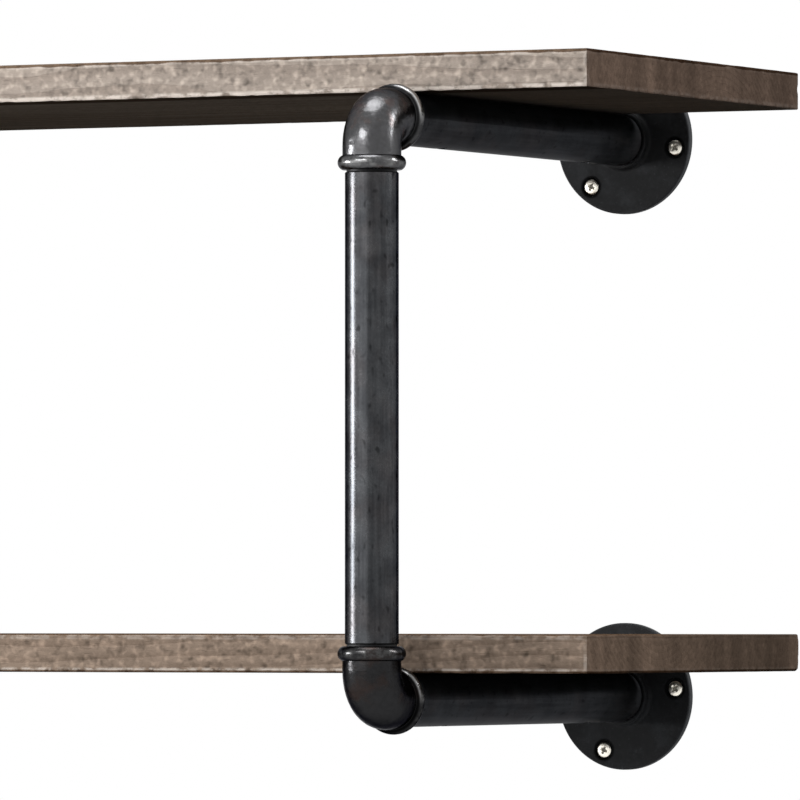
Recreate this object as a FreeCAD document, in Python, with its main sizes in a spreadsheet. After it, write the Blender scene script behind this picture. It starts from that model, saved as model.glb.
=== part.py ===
"""Two-tier wall shelf: two boards on a pair of brackets made of threaded pipe, elbows and wall flanges.

The wall is the plane y = 0 and the room lies towards -Y. The origin is midway between the two brackets
and midway between the two tiers, on the wall. Lengths are in millimetres.
"""

import FreeCAD, Part
import os
import re
import Sketcher

SIZES = {
    # boards
    "shelf_overhang": 108.0,
    "shelf_thick": 20.0,
    "shelf_arris": 1.2,
    "shelf_hub_gap": 1.0,
    "shelf_elbow_gap": 5.3,
    "shelf_seat_gap": 0.05,
    # layout of the brackets
    "bracket_spacing": 546.0,
    "tier_rise": 303.0,
    "arm_reach": 302.0,
    "arm_wall_gap": 1.0,
    # pipe and its threads, which are plain spigots at their pitch size
    "pipe_od": 28.0,
    "pipe_wall": 2.6,
    "pipe_chamfer": 0.6,
    "thread_cut": 0.9,
    "thread_length": 13.0,
    "thread_show": 1.0,
    "thread_gap": 0.08,
    # elbows
    "elbow_reach": 28.2,
    "elbow_od": 30.6,
    "elbow_bend": 15.8,
    "elbow_socket_spare": 0.5,
    "bead_od": 35.6,
    "bead_width": 7.6,
    "mouth_chamfer": 0.6,
    # wall flanges
    "flange_od": 80.0,
    "flange_thick": 4.0,
    "flange_round": 1.0,
    "hub_od": 31.2,
    "hub_height": 8.5,
    "hub_round": 1.0,
    "hub_fillet": 2.0,
    # wall screws
    "wall_screw_circle": 63.0,
    "wall_screw_count": 3,
    "wall_screw_clock": 8.0,
    "wall_screw_od": 4.8,
    "wall_screw_neck_od": 4.2,
    "wall_screw_bite": 15.5,
    "wall_screw_point": 4.5,
    "wall_screw_head_od": 8.6,
    "wall_screw_head_rise": 1.4,
    "wall_screw_head_round": 1.1,
    "wall_screw_hole_od": 5.4,
    "wall_screw_sink_od": 10.6,
    "wall_screw_seat_gap": 0.06,
    "wall_screw_slot_length": 4.6,
    "wall_screw_slot_width": 1.0,
    "wall_screw_slot_depth": 1.8,
    # shelf screws
    "shelf_screw_inset": 44.0,
    "shelf_screw_od": 3.5,
    "shelf_screw_bite": 14.0,
    "shelf_screw_point": 4.0,
    "shelf_screw_head_od": 7.0,
    "shelf_screw_head_rise": 2.4,
    "shelf_screw_head_round": 0.9,
    "shelf_screw_seat_gap": 0.06,
    "shelf_screw_slot_length": 3.8,
    "shelf_screw_slot_width": 0.9,
    "shelf_screw_slot_depth": 1.5,
    "access_hole_od": 8.0,
    "clearance_hole_od": 4.4,
    "pilot_gap": 0.06,
    "pilot_spare": 0.5,
}

# Sizes that follow from the ones above.
WORKED = {
    "pipe_r": "pipe_od / 2",
    "bore_r": "pipe_r - pipe_wall",
    "thread_r": "pipe_r - thread_cut",
    "socket_r": "thread_r + thread_gap",
    "thread_reach": "thread_length + thread_show",
    "flange_thread_reach": "hub_height - arm_wall_gap + thread_show",
    "arm_length": "arm_reach - elbow_reach + thread_length - arm_wall_gap",
    "upright_length": "tier_rise - 2 * elbow_reach + 2 * thread_length",
    "shelf_length": "bracket_spacing + 2 * shelf_overhang",
    "shelf_back": "hub_height + shelf_hub_gap",
    "shelf_depth": "arm_reach - elbow_reach - shelf_elbow_gap - shelf_back",
    "shelf_rest": "pipe_r + shelf_seat_gap",
    "elbow_r": "elbow_od / 2",
    "bead_r": "bead_od / 2",
    "bead_start": "elbow_reach - bead_width",
    "bead_root_r": "(elbow_r + socket_r) / 2",
    "socket_start": "elbow_reach - thread_length - elbow_socket_spare",
    "flange_r": "flange_od / 2",
    "hub_r": "hub_od / 2",
    "wall_screw_centre": "wall_screw_circle / 2",
    "wall_screw_hole_edge": "wall_screw_centre + wall_screw_hole_od / 2",
    "wall_screw_sink_edge": "wall_screw_centre + wall_screw_sink_od / 2",
    "wall_screw_sink_start": "flange_thick - (wall_screw_sink_od - wall_screw_hole_od) / 2",
    "wall_screw_neck_edge": "wall_screw_centre + wall_screw_neck_od / 2",
    "wall_screw_edge": "wall_screw_centre + wall_screw_od / 2",
    "wall_screw_head_edge": "wall_screw_centre + wall_screw_head_od / 2",
    "wall_screw_head_rim":
        "flange_thick - (wall_screw_sink_od - wall_screw_head_od) / 2 + wall_screw_seat_gap",
    "wall_screw_neck_top": "wall_screw_head_rim - (wall_screw_head_od - wall_screw_neck_od) / 2",
    "wall_screw_top": "wall_screw_head_rim + wall_screw_head_rise",
    "shelf_screw_r": "shelf_screw_od / 2",
    "shelf_screw_head_r": "shelf_screw_head_od / 2",
    "shelf_screw_seat": "sqrt(bore_r ^ 2 - shelf_screw_head_r ^ 2) - shelf_screw_seat_gap",
    "shelf_screw_head_end": "shelf_screw_seat - shelf_screw_head_rise",
    "shelf_screw_tip": "shelf_rest + shelf_screw_bite",
    "shelf_screw_rear": "shelf_back + shelf_screw_inset",
    "shelf_screw_front": "shelf_back + shelf_depth - shelf_screw_inset",
    "pilot_r": "shelf_screw_r + pilot_gap",
    "pilot_depth": "shelf_screw_bite + pilot_spare",
}

FULL_TURN = 360
QUARTER_TURN = 90
NEAR = 1e-6
X_AXIS = FreeCAD.Vector(1, 0, 0)
Y_AXIS = FreeCAD.Vector(0, 1, 0)
Z_AXIS = FreeCAD.Vector(0, 0, 1)
SIDES = {"left": -1, "right": 1}
TIERS = {"lower": -1, "upper": 1}
SHELF_SCREW_PLACES = ("shelf_screw_rear", "shelf_screw_front")

doc = FreeCAD.newDocument("pipe_shelf")
sheet = doc.addObject("Spreadsheet::Sheet", "Sizes")


def fill_sheet():
    """One row for each driving size: its name and its value."""
    for row, (name, size) in enumerate(SIZES.items(), start=1):
        sheet.set(f"A{row}", name)
        sheet.set(f"B{row}", str(size))
        sheet.setAlias(f"B{row}", name)
    doc.recompute()


def formula(words):
    """The words of a size as an expression on the sheet's cells."""

    def cell(match):
        word = match.group()
        if word in WORKED:
            return f"({formula(WORKED[word])})"
        return f"Sizes.{word}" if word in SIZES else word

    return re.sub(r"[a-z]+(?:_[a-z]+)*", cell, words)


def value(words):
    return float(sheet.evalExpression(formula(words)))


def new_body(label):
    body = doc.addObject("PartDesign::Body", label)
    body.Label = label
    return body


def place(body, turn, across="0", out="0", rise="0"):
    """Puts a body at a place given by its distance across, out from the wall and up."""
    body.Placement = FreeCAD.Placement(FreeCAD.Vector(), turn)
    for axis, words in (("x", across), ("y", f"-({out})"), ("z", rise)):
        body.setExpression(f"Placement.Base.{axis}", formula(words))


def datum(body, role):
    """The body's own origin plane or axis of that role."""
    return next(item for item in body.Origin.OriginFeatures if item.Role == role)


def new_sketch(body, name, role, height=None):
    """A sketch on an origin plane, or at a height above it."""
    sketch = body.newObject("Sketcher::SketchObject", name)
    sketch.AttachmentSupport = [(datum(body, role), "")]
    sketch.MapMode = "FlatFace"
    if height:
        sketch.setExpression("AttachmentOffset.Base.z", formula(height))
    return sketch


def tie(sketch, kind, item, end, words):
    """Ties one point of a sketch to a size, measured from the sketch's origin."""
    if words == "0":
        origin_axis = -2 if kind == "DistanceX" else -1
        sketch.addConstraint(Sketcher.Constraint("PointOnObject", item, end, origin_axis))
        return
    number = sketch.addConstraint(Sketcher.Constraint(kind, -1, 1, item, end, value(words)))
    sketch.setExpression(f"Constraints[{number}]", formula(words))


def spot(words):
    """A point of a sketch from the words for its two places."""
    across, along = words
    return FreeCAD.Vector(value(across), value(along), 0)


def tie_spot(sketch, item, end, words):
    across, along = words
    tie(sketch, "DistanceX", item, end, across)
    tie(sketch, "DistanceY", item, end, along)


def add_side(sketch, start, end, bow):
    """A straight side, or an arc that bows through a point. Gives its number and its two ends."""
    if not bow:
        return sketch.addGeometry(Part.LineSegment(start, end), False), 1, 2
    item = sketch.addGeometry(Part.Arc(start, spot(bow), end), False)
    mark = sketch.addGeometry(Part.Point(spot(bow)), True)
    tie_spot(sketch, mark, 1, bow)
    sketch.addConstraint(Sketcher.Constraint("PointOnObject", mark, 1, item))
    forwards = (sketch.getPoint(item, 1) - start).Length < NEAR
    return (item, 1, 2) if forwards else (item, 2, 1)


def add_outline(sketch, corners, closed=True):
    """Sides from corner to corner, each corner given as words, then any point that its side bows through."""
    points = [spot(corner[:2]) for corner in corners]
    ends = points[1:] + points[:1]
    count = len(corners) if closed else len(corners) - 1
    sides = [add_side(sketch, points[n], ends[n], corners[n][2:]) for n in range(count)]
    for (item, _, last), (following, first, _) in zip(sides, sides[1:] + sides[:1]):
        if closed or item != sides[-1][0]:
            sketch.addConstraint(Sketcher.Constraint("Coincident", item, last, following, first))
    for (item, first, _), corner in zip(sides, corners):
        tie_spot(sketch, item, first, corner[:2])
    if not closed:
        item, _, last = sides[-1]
        tie_spot(sketch, item, last, corners[-1][:2])


def add_circle(sketch, radius, across="0", along="0"):
    centre = (across, along)
    item = sketch.addGeometry(Part.Circle(spot(centre), Z_AXIS, value(radius)), False)
    number = sketch.addConstraint(Sketcher.Constraint("Radius", item, value(radius)))
    sketch.setExpression(f"Constraints[{number}]", formula(radius))
    tie_spot(sketch, item, 3, centre)


def add_axis(sketch, across, low, high):
    """An upright construction line for a turned feature."""
    item = sketch.addGeometry(Part.LineSegment(spot((across, low)), spot((across, high))), True)
    tie_spot(sketch, item, 1, (across, low))
    tie_spot(sketch, item, 2, (across, high))


def turned(body, kind, name, sketch, axis="V_Axis"):
    """A solid or a cut turned through a full circle about a line of its sketch."""
    feature = body.newObject(f"PartDesign::{kind}", name)
    feature.Profile = sketch
    feature.ReferenceAxis = (sketch, [axis])
    feature.Angle = FULL_TURN
    doc.recompute()
    return feature


def pocket(body, name, sketch, depth=None, backwards=False):
    """A straight cut from a sketch, to a depth or right through one side."""
    before = body.Shape.Volume
    feature = body.newObject("PartDesign::Pocket", name)
    feature.Profile = sketch
    feature.Reversed = backwards
    if depth:
        feature.setExpression("Length", formula(depth))
    else:
        feature.Type = "ThroughAll"
    doc.recompute()
    if not feature.Shape.Volume < before - NEAR:
        raise RuntimeError(f"{body.Label}: {name} cuts nothing")
    return feature


def edge_names(shape, wanted):
    return [f"Edge{number}" for number, edge in enumerate(shape.Edges, start=1) if wanted(edge)]


def round_rings(body, name, base, radius, rings):
    """Rounds circular edges, each given by its radius and its height on the body's axis."""
    sizes = [(value(ring), value(height)) for ring, height in rings]

    def wanted(edge):
        if not isinstance(edge.Curve, Part.Circle):
            return False
        found = (edge.Curve.Radius, edge.Curve.Center.z)
        return any(max(abs(a - b) for a, b in zip(found, size)) < NEAR for size in sizes)

    return rounded(body, name, base, radius, wanted)


def rounded(body, name, base, radius, wanted):
    feature = body.newObject("PartDesign::Fillet", name)
    feature.Base = (base, edge_names(base.Shape, wanted))
    feature.setExpression("Radius", formula(radius))
    doc.recompute()
    return feature


def pattern(body, kind, name, originals, settings):
    """Copies of features round or along an axis of the body."""
    feature = body.newObject(f"PartDesign::{kind}", name)
    feature.Originals = originals
    for setting, content in settings.items():
        setattr(feature, setting, content)
    body.Tip = feature
    doc.recompute()
    return feature


def ring_pattern(body, originals):
    axis = (datum(body, "Z_Axis"), [""])
    feature = pattern(body, "PolarPattern", "ring", originals, {"Axis": axis, "Angle": FULL_TURN})
    feature.setExpression("Occurrences", formula("wall_screw_count"))
    doc.recompute()
    return feature


def cross_corners(length, width, across="0"):
    """The corners of a cross recess, anticlockwise, about a point on the sketch's across axis."""
    reach, half = f"{length} / 2", f"{width} / 2"
    steps = [(reach, half), (half, half), (half, reach)]
    corners = []
    for sign_across, sign_along in ((1, 1), (-1, 1), (-1, -1), (1, -1)):
        quarter = steps if sign_across == sign_along else steps[::-1]
        for far, up in quarter:
            corners.append((f"{across} + {sign_across} * {far}", f"{sign_along} * {up}"))
    return corners


def make_shelf(tier):
    """A board with eased arrises, and pilot holes in its underside for the screws from the arms."""
    body = new_body(f"{tier}_shelf")
    plan = new_sketch(body, "plan", "XY_Plane")
    half, back, front = "shelf_length / 2", "-shelf_back", "-(shelf_back + shelf_depth)"
    add_outline(plan, [(f"-{half}", front), (half, front), (half, back), (f"-{half}", back)])
    board = body.newObject("PartDesign::Pad", "board")
    board.Profile = plan
    board.setExpression("Length", formula("shelf_thick"))
    doc.recompute()
    rounded(body, "arrises", board, "shelf_arris", lambda edge: True)
    pilots = new_sketch(body, "pilots", "XY_Plane")
    for side in SIDES.values():
        for out in SHELF_SCREW_PLACES:
            add_circle(pilots, "pilot_r", f"{side} * bracket_spacing / 2", f"-({out})")
    pocket(body, "pilot_holes", pilots, "pilot_depth", backwards=True)
    place(body, FreeCAD.Rotation(), rise=f"{TIERS[tier]} * tier_rise / 2 + shelf_rest")
    return body


def pipe_corners(length, near_reach):
    """Half the section of a tube with a threaded spigot at each end: radius, then height."""
    far_thread, far_chamfer = f"{length} - thread_reach", f"{length} - pipe_chamfer"
    return [
        ("bore_r", "0"),
        ("thread_r - pipe_chamfer", "0"),
        ("thread_r", "pipe_chamfer"),
        ("thread_r", near_reach),
        ("pipe_r - pipe_chamfer", near_reach),
        ("pipe_r", f"{near_reach} + pipe_chamfer"),
        ("pipe_r", f"{far_thread} - pipe_chamfer"),
        ("pipe_r - pipe_chamfer", far_thread),
        ("thread_r", far_thread),
        ("thread_r", far_chamfer),
        ("thread_r - pipe_chamfer", length),
        ("bore_r", length),
    ]


def make_pipe(label, length, near_reach):
    body = new_body(label)
    section = new_sketch(body, "section", "XZ_Plane")
    add_outline(section, pipe_corners(length, near_reach))
    turned(body, "Revolution", "tube", section)
    return body


def make_upright(side):
    body = make_pipe(f"{side}_upright", "upright_length", "thread_reach")
    across = f"{SIDES[side]} * bracket_spacing / 2"
    place(body, FreeCAD.Rotation(), across, "arm_reach", "-upright_length / 2")
    return body


def make_arm(side, tier):
    """A level pipe from flange to elbow, drilled so that two screws go up through it into the board."""
    body = make_pipe(f"{side}_{tier}_arm", "arm_length", "flange_thread_reach")
    drillings = (
        ("access", "access_hole_od / 2", True),
        ("clearance", "clearance_hole_od / 2", False),
    )
    for name, radius, backwards in drillings:
        holes = new_sketch(body, f"{name}_places", "XZ_Plane")
        for out in SHELF_SCREW_PLACES:
            add_circle(holes, radius, "0", f"{out} - arm_wall_gap")
        pocket(body, f"{name}_holes", holes, backwards=backwards)
    across = f"{SIDES[side]} * bracket_spacing / 2"
    turn = FreeCAD.Rotation(X_AXIS, QUARTER_TURN)
    place(body, turn, across, "arm_wall_gap", f"{TIERS[tier]} * tier_rise / 2")
    return body


def make_elbow(side, tier):
    """A cast elbow: a bent tube with a rounded bead and a threaded socket at each mouth."""
    body = new_body(f"{side}_{tier}_elbow")
    path = new_sketch(body, "path", "XZ_Plane")
    bend = ("elbow_bend - elbow_bend / sqrt(2)", "elbow_bend - elbow_bend / sqrt(2)")
    legs = [("0", "elbow_reach"), ("0", "elbow_bend", *bend), ("elbow_bend", "0"), ("elbow_reach", "0")]
    add_outline(path, legs, closed=False)
    for kind, name, radius in (("Additive", "casting", "elbow_r"), ("Subtractive", "passage", "bore_r")):
        section = new_sketch(body, f"{name}_section", "XY_Plane", "elbow_reach")
        add_circle(section, radius)
        sweep = body.newObject(f"PartDesign::{kind}Pipe", name)
        sweep.Profile = section
        sweep.Spine = (path, ["Edge1", "Edge2", "Edge3"])
        doc.recompute()
    for axis in ("V_Axis", "H_Axis"):
        add_elbow_mouth(body, axis)
    across = f"{SIDES[side]} * bracket_spacing / 2"
    # the first leg points along the upright, the second back towards the wall
    first = Z_AXIS * -TIERS[tier]
    turn = FreeCAD.Rotation(Y_AXIS, first.cross(Y_AXIS) * -1, first, "ZXY")
    place(body, turn, across, "arm_reach", f"{TIERS[tier]} * tier_rise / 2")
    return body


def add_elbow_mouth(body, axis):
    """The bead round one mouth and the socket inside it, both turned about that leg's axis."""
    bead = [
        ("bead_root_r", "bead_start"),
        ("elbow_r", "bead_start", "bead_r", "elbow_reach - bead_width / 2"),
        ("elbow_r", "elbow_reach"),
        ("bead_root_r", "elbow_reach"),
    ]
    socket = [
        ("0", "socket_start"),
        ("socket_r", "socket_start"),
        ("socket_r", "elbow_reach - mouth_chamfer"),
        ("socket_r + mouth_chamfer", "elbow_reach"),
        ("0", "elbow_reach"),
    ]
    leg = "upright" if axis == "V_Axis" else "arm"
    for kind, name, corners in (("Revolution", "bead", bead), ("Groove", "socket", socket)):
        sketch = new_sketch(body, f"{leg}_{name}_section", "XZ_Plane")
        add_outline(sketch, corners if axis == "V_Axis" else [swapped(corner) for corner in corners])
        turned(body, kind, f"{leg}_{name}", sketch, axis)


def swapped(corner):
    """A corner with its two places, and those of its bow, the other way round."""
    pairs = [corner[start : start + 2] for start in range(0, len(corner), 2)]
    return tuple(words for across, along in pairs for words in (along, across))


def clock(side, tier):
    """A flange's turn about its own axis, mirrored from side to side and from tier to tier."""
    return f"{-SIDES[side] * TIERS[tier]} * wall_screw_clock"


def place_on_wall(body, side, tier):
    """Stands a body on the wall with its axis pointing into the room and its first screw outwards."""
    outwards, out = X_AXIS * SIDES[side], Y_AXIS * -1
    turn = FreeCAD.Rotation(outwards, out.cross(outwards), out, "ZXY")
    place(body, turn, f"{SIDES[side]} * bracket_spacing / 2", "0", f"{TIERS[tier]} * tier_rise / 2")


def turn_sketch(sketch, axis, side, tier):
    """Turns a sketch of one screw or screw hole about the flange's axis to the first screw's place."""
    sketch.AttachmentOffset = FreeCAD.Placement(FreeCAD.Vector(), FreeCAD.Rotation(axis, FULL_TURN / 2))
    sketch.setExpression("AttachmentOffset.Rotation.Angle", formula(clock(side, tier)))


def make_flange(side, tier):
    """A round wall plate with a threaded hub and countersunk holes on a circle."""
    body = new_body(f"{side}_{tier}_flange")
    section = new_sketch(body, "section", "XZ_Plane")
    corners = [
        ("socket_r", "0"),
        ("flange_r", "0"),
        ("flange_r", "flange_thick"),
        ("hub_r", "flange_thick"),
        ("hub_r", "hub_height"),
        ("socket_r + mouth_chamfer", "hub_height"),
        ("socket_r", "hub_height - mouth_chamfer"),
    ]
    add_outline(section, corners)
    plate = turned(body, "Revolution", "plate", section)
    rim = round_rings(body, "rim_round", plate, "flange_round", [("flange_r", "flange_thick")])
    root = round_rings(body, "hub_fillet", rim, "hub_fillet", [("hub_r", "flange_thick")])
    round_rings(body, "hub_round", root, "hub_round", [("hub_r", "hub_height")])
    hole = new_sketch(body, "hole_section", "XZ_Plane")
    turn_sketch(hole, Y_AXIS, side, tier)
    centre = "wall_screw_centre"
    hole_corners = [
        (centre, "0"),
        ("wall_screw_hole_edge", "0"),
        ("wall_screw_hole_edge", "wall_screw_sink_start"),
        ("wall_screw_sink_edge", "flange_thick"),
        (centre, "flange_thick"),
    ]
    add_outline(hole, hole_corners)
    add_axis(hole, centre, "0", "flange_thick")
    ring_pattern(body, [turned(body, "Groove", "screw_hole", hole, "Axis0")])
    place_on_wall(body, side, tier)
    return body


def make_wall_screws(side, tier):
    """Raised countersunk screws, one in each hole of a flange, with their threads standing in the wall."""
    body = new_body(f"{side}_{tier}_wall_screws")
    section = new_sketch(body, "section", "XZ_Plane")
    turn_sketch(section, Y_AXIS, side, tier)
    centre = "wall_screw_centre"
    corners = [
        (centre, "-wall_screw_bite"),
        ("wall_screw_edge", "wall_screw_point - wall_screw_bite"),
        ("wall_screw_edge", "0"),
        ("wall_screw_neck_edge", "0"),
        ("wall_screw_neck_edge", "wall_screw_neck_top"),
        ("wall_screw_head_edge", "wall_screw_head_rim"),
        ("wall_screw_head_edge", "wall_screw_top"),
        (centre, "wall_screw_top"),
    ]
    add_outline(section, corners)
    add_axis(section, centre, "-wall_screw_bite", "wall_screw_top")
    shank = turned(body, "Revolution", "shank", section, "Axis0")
    crown_ring = [("wall_screw_head_od / 2", "wall_screw_top")]
    crown = round_rings(body, "crown", shank, "wall_screw_head_round", crown_ring)
    cross = new_sketch(body, "cross", "XY_Plane", "wall_screw_top")
    turn_sketch(cross, Z_AXIS, side, tier)
    add_outline(cross, cross_corners("wall_screw_slot_length", "wall_screw_slot_width", centre))
    recess = pocket(body, "recess", cross, "wall_screw_slot_depth")
    ring_pattern(body, [shank, crown, recess])
    place_on_wall(body, side, tier)
    return body


def make_shelf_screws(side, tier):
    """Two round-headed screws that stand inside an arm and reach up into the board."""
    body = new_body(f"{side}_{tier}_shelf_screws")
    section = new_sketch(body, "section", "XZ_Plane")
    corners = [
        ("0", "shelf_screw_head_end"),
        ("shelf_screw_head_r", "shelf_screw_head_end"),
        ("shelf_screw_head_r", "shelf_screw_seat"),
        ("shelf_screw_r", "shelf_screw_seat"),
        ("shelf_screw_r", "shelf_screw_tip - shelf_screw_point"),
        ("0", "shelf_screw_tip"),
    ]
    add_outline(section, corners)
    shank = turned(body, "Revolution", "shank", section)
    crown_ring = [("shelf_screw_head_r", "shelf_screw_head_end")]
    crown = round_rings(body, "crown", shank, "shelf_screw_head_round", crown_ring)
    cross = new_sketch(body, "cross", "XY_Plane", "shelf_screw_head_end")
    add_outline(cross, cross_corners("shelf_screw_slot_length", "shelf_screw_slot_width"))
    recess = pocket(body, "recess", cross, "shelf_screw_slot_depth", backwards=True)
    axis = (datum(body, "Y_Axis"), [""])
    along = {"Direction": axis, "Reversed": True, "Occurrences": len(SHELF_SCREW_PLACES)}
    pair = pattern(body, "LinearPattern", "pair", [shank, crown, recess], along)
    pair.setExpression("Length", formula("shelf_screw_front - shelf_screw_rear"))
    doc.recompute()
    across = f"{SIDES[side]} * bracket_spacing / 2"
    place(body, FreeCAD.Rotation(), across, "shelf_screw_rear", f"{TIERS[tier]} * tier_rise / 2")
    return body


def build():
    """Every piece of the shelf, boards first, then each bracket."""
    fill_sheet()
    pieces = [make_shelf(tier) for tier in TIERS]
    for side in SIDES:
        pieces.append(make_upright(side))
        for tier in TIERS:
            pieces.append(make_arm(side, tier))
            pieces.append(make_elbow(side, tier))
            pieces.append(make_flange(side, tier))
            pieces.append(make_wall_screws(side, tier))
            pieces.append(make_shelf_screws(side, tier))
    doc.recompute()
    return pieces


def check(pieces):
    """Stops if any feature failed or any piece is empty or broken."""
    for item in doc.Objects:
        if {"Invalid", "Error"} & set(item.State):
            raise RuntimeError(f"{item.Label} failed: {item.State}")
    for piece in pieces:
        if piece.Shape.isNull() or not piece.Shape.isValid() or not piece.Shape.Solids:
            raise RuntimeError(f"{piece.Label} has no sound shape")


def write(pieces):
    os.makedirs("parts", exist_ok=True)
    for piece in pieces:
        piece.Shape.exportStep(f"parts/{piece.Label}.step")


shelf_pieces = build()
check(shelf_pieces)
write(shelf_pieces)
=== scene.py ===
"""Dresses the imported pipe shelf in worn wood, black lacquer, cast iron and zinc, and sets its stage."""

import math

import bmesh
import bpy
from mathutils import Matrix, Vector, noise


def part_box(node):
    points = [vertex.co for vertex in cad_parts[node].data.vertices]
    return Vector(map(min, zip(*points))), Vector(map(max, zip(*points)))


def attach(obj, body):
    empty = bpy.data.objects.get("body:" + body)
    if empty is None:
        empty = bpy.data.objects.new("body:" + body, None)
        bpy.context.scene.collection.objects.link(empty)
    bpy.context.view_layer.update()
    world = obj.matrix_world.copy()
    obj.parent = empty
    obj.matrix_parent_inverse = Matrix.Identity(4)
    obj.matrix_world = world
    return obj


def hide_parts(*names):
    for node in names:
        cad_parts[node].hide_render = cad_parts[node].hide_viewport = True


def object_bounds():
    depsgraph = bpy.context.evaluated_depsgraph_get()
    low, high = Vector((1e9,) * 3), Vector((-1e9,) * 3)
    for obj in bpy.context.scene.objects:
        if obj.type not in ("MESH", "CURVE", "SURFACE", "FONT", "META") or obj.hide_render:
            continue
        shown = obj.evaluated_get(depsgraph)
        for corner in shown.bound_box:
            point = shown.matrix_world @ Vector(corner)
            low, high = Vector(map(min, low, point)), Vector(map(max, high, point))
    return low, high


bl_info = {
    "name": "Pipe shelf dresser",
    "version": (1, 0, 0),
    "blender": (4, 5, 0),
    "location": "View3D > Sidebar > Pipe shelf",
    "description": "Boards, pipe, fittings and screws of a two-tier wall shelf, with its studio stage",
    "category": "Object",
}

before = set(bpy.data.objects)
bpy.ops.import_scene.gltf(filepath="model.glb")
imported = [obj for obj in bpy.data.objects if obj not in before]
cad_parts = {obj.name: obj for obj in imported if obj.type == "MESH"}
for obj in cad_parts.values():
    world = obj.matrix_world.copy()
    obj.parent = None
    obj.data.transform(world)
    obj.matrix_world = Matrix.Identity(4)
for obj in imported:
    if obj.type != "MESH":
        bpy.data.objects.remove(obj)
CAD_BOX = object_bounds()

MM = 0.001
ROOT = "root"
SIDES = ("left", "right")
TIERS = ("lower", "upper")
CORNERS = [(side, tier) for side in SIDES for tier in TIERS]
SIGNS = {"left": -1, "right": 1, "lower": -1, "upper": 1}


def middle(node):
    """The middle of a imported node's box."""
    low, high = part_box(node)
    return (low + high) / 2


def half_width(node):
    """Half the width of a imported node's box."""
    low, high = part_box(node)
    return (high.x - low.x) / 2


# The bracket's axes and how far its pieces reach from them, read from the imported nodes.
BRACKET_X = middle("right_upright").x
UPRIGHT_Y = middle("right_upright").y
TIER_Z = middle("right_upper_flange").z
ELBOW_REACH = TIER_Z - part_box("right_upper_elbow")[0].z
PIPE_RADIUS = half_width("right_upright")
FLANGE_RADIUS = half_width("right_upper_flange")

# The boards' points: gaps by an edge, steps between, and the numbers that each carries.
EDGE_GAPS = [gap * MM for gap in (0.0, 0.2, 0.4, 0.65, 0.95, 1.3, 1.7, 2.2, 3.0)]
BOARD_STEPS = (2.0 * MM, 6.0 * MM, 1.0 * MM)
BOARD_MARKS = ("arris", "cut_end", "broad_face")

# A board's faces, by the axis that each looks along, and how deep and how far in their wear goes.
END, EDGE, BROAD = range(3)
DEEPEST_MARK = 0.6 * MM
WEAR_REACH = 4.0 * MM
END_REACH = 0.5 * MM
BROAD_INSET = 0.3 * MM

# Where the heart of each board's log lies from the board's middle, across it and up.
HEARTS = {"upper": (0.03, -0.062), "lower": (-0.045, 0.058)}

# How bare each board's edges are rubbed, how much less at the top, how dark its upper edges are, how far
# its ends darken towards the wall, and how dark the foot of its sawn edges is.
BOARD_LOOKS = {
    "upper": {"bare": 0.95, "bare_less": 0.25, "line": 1.0, "wall_dark_reach": 1.0, "foot": 0.0},
    "lower": {"bare": 0.70, "bare_less": 0.35, "line": 0.3, "wall_dark_reach": 0.6, "foot": 1.0},
}

# The axes that the pipes run along, and the brown that shows in their lacquer.
UPRIGHT_AXIS, ARM_AXIS = 2, 1
WARM_TINT = (1.12, 0.98, 0.93)

# Where an elbow's beads and the flank of its arm's bead fade in, along a pipe's axis and off it.
BEAD_ALONG = (18.5 * MM, 20.0 * MM)
BEAD_OFF = (16.6 * MM, 17.7 * MM)
FLANK_ALONG = (16.5 * MM, 18.0 * MM)
FLANK_OFF = (15.1 * MM, 15.6 * MM)
FLANK_TOP = (16.3 * MM, 17.2 * MM)

# How many screws a flange and an arm have, and how they are turned.
WALL_SCREWS, SHELF_SCREWS = 3, 2
WALL_CLOCK = math.radians(8.0)
SPIN_SEED = 11

# A thread's points and rings in a turn, and its half width and fading length in turns.
THREAD_SIDES, THREAD_STEPS = 28, 7
THREAD_HALF, THREAD_FADE = 0.28, 0.6

# Lengths of the screws' points, and the thread's root and the neck as shares of the crest's radius.
WALL_POINT, SHELF_POINT = 4.5 * MM, 4.0 * MM
WALL_ROOT, SHELF_ROOT = 0.68, 0.70
WALL_NECK, SHELF_NECK = 0.87, 0.80

# The heads' domes: height over the rim or depth below the crown, and the share of the head's radius.
WALL_DOME = [(0.0, 1.0), (0.35 * MM, 1.0), (0.75 * MM, 0.93), (1.1 * MM, 0.78), (1.3 * MM, 0.55)]
WALL_RISE, WALL_CROWN, WALL_NECK_START = 1.4 * MM, 0.3, 0.15 * MM
SHELF_DOME = [(2.38 * MM, 1.0), (0.9 * MM, 1.0), (0.45 * MM, 0.93), (0.15 * MM, 0.78), (0.0, 0.5)]
SHELF_NECK_END, SHELF_SHOULDER = 2.4 * MM, 2.5 * MM

# The length, width and depth of the cross recesses, and how proud of a head their cutter stands.
WALL_RECESS = (5.0 * MM, 1.6 * MM, 2.2 * MM)
SHELF_RECESS = (3.8 * MM, 1.0 * MM, 1.5 * MM)
PROUD = 0.5 * MM

# Shares of a recess: its arms' feet and least width, its cone, the depths of its painted shade, and what is
# flat.
ARM_FOOT, ARM_LEAST = 0.55, 0.8
CONE_SIDES, CONE_FOOT, CONE_MOUTH = 12, 0.4, 0.95
SHADE_LOW, SHADE_HIGH = 1.05, 0.4
FLAT = 0.9

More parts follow.
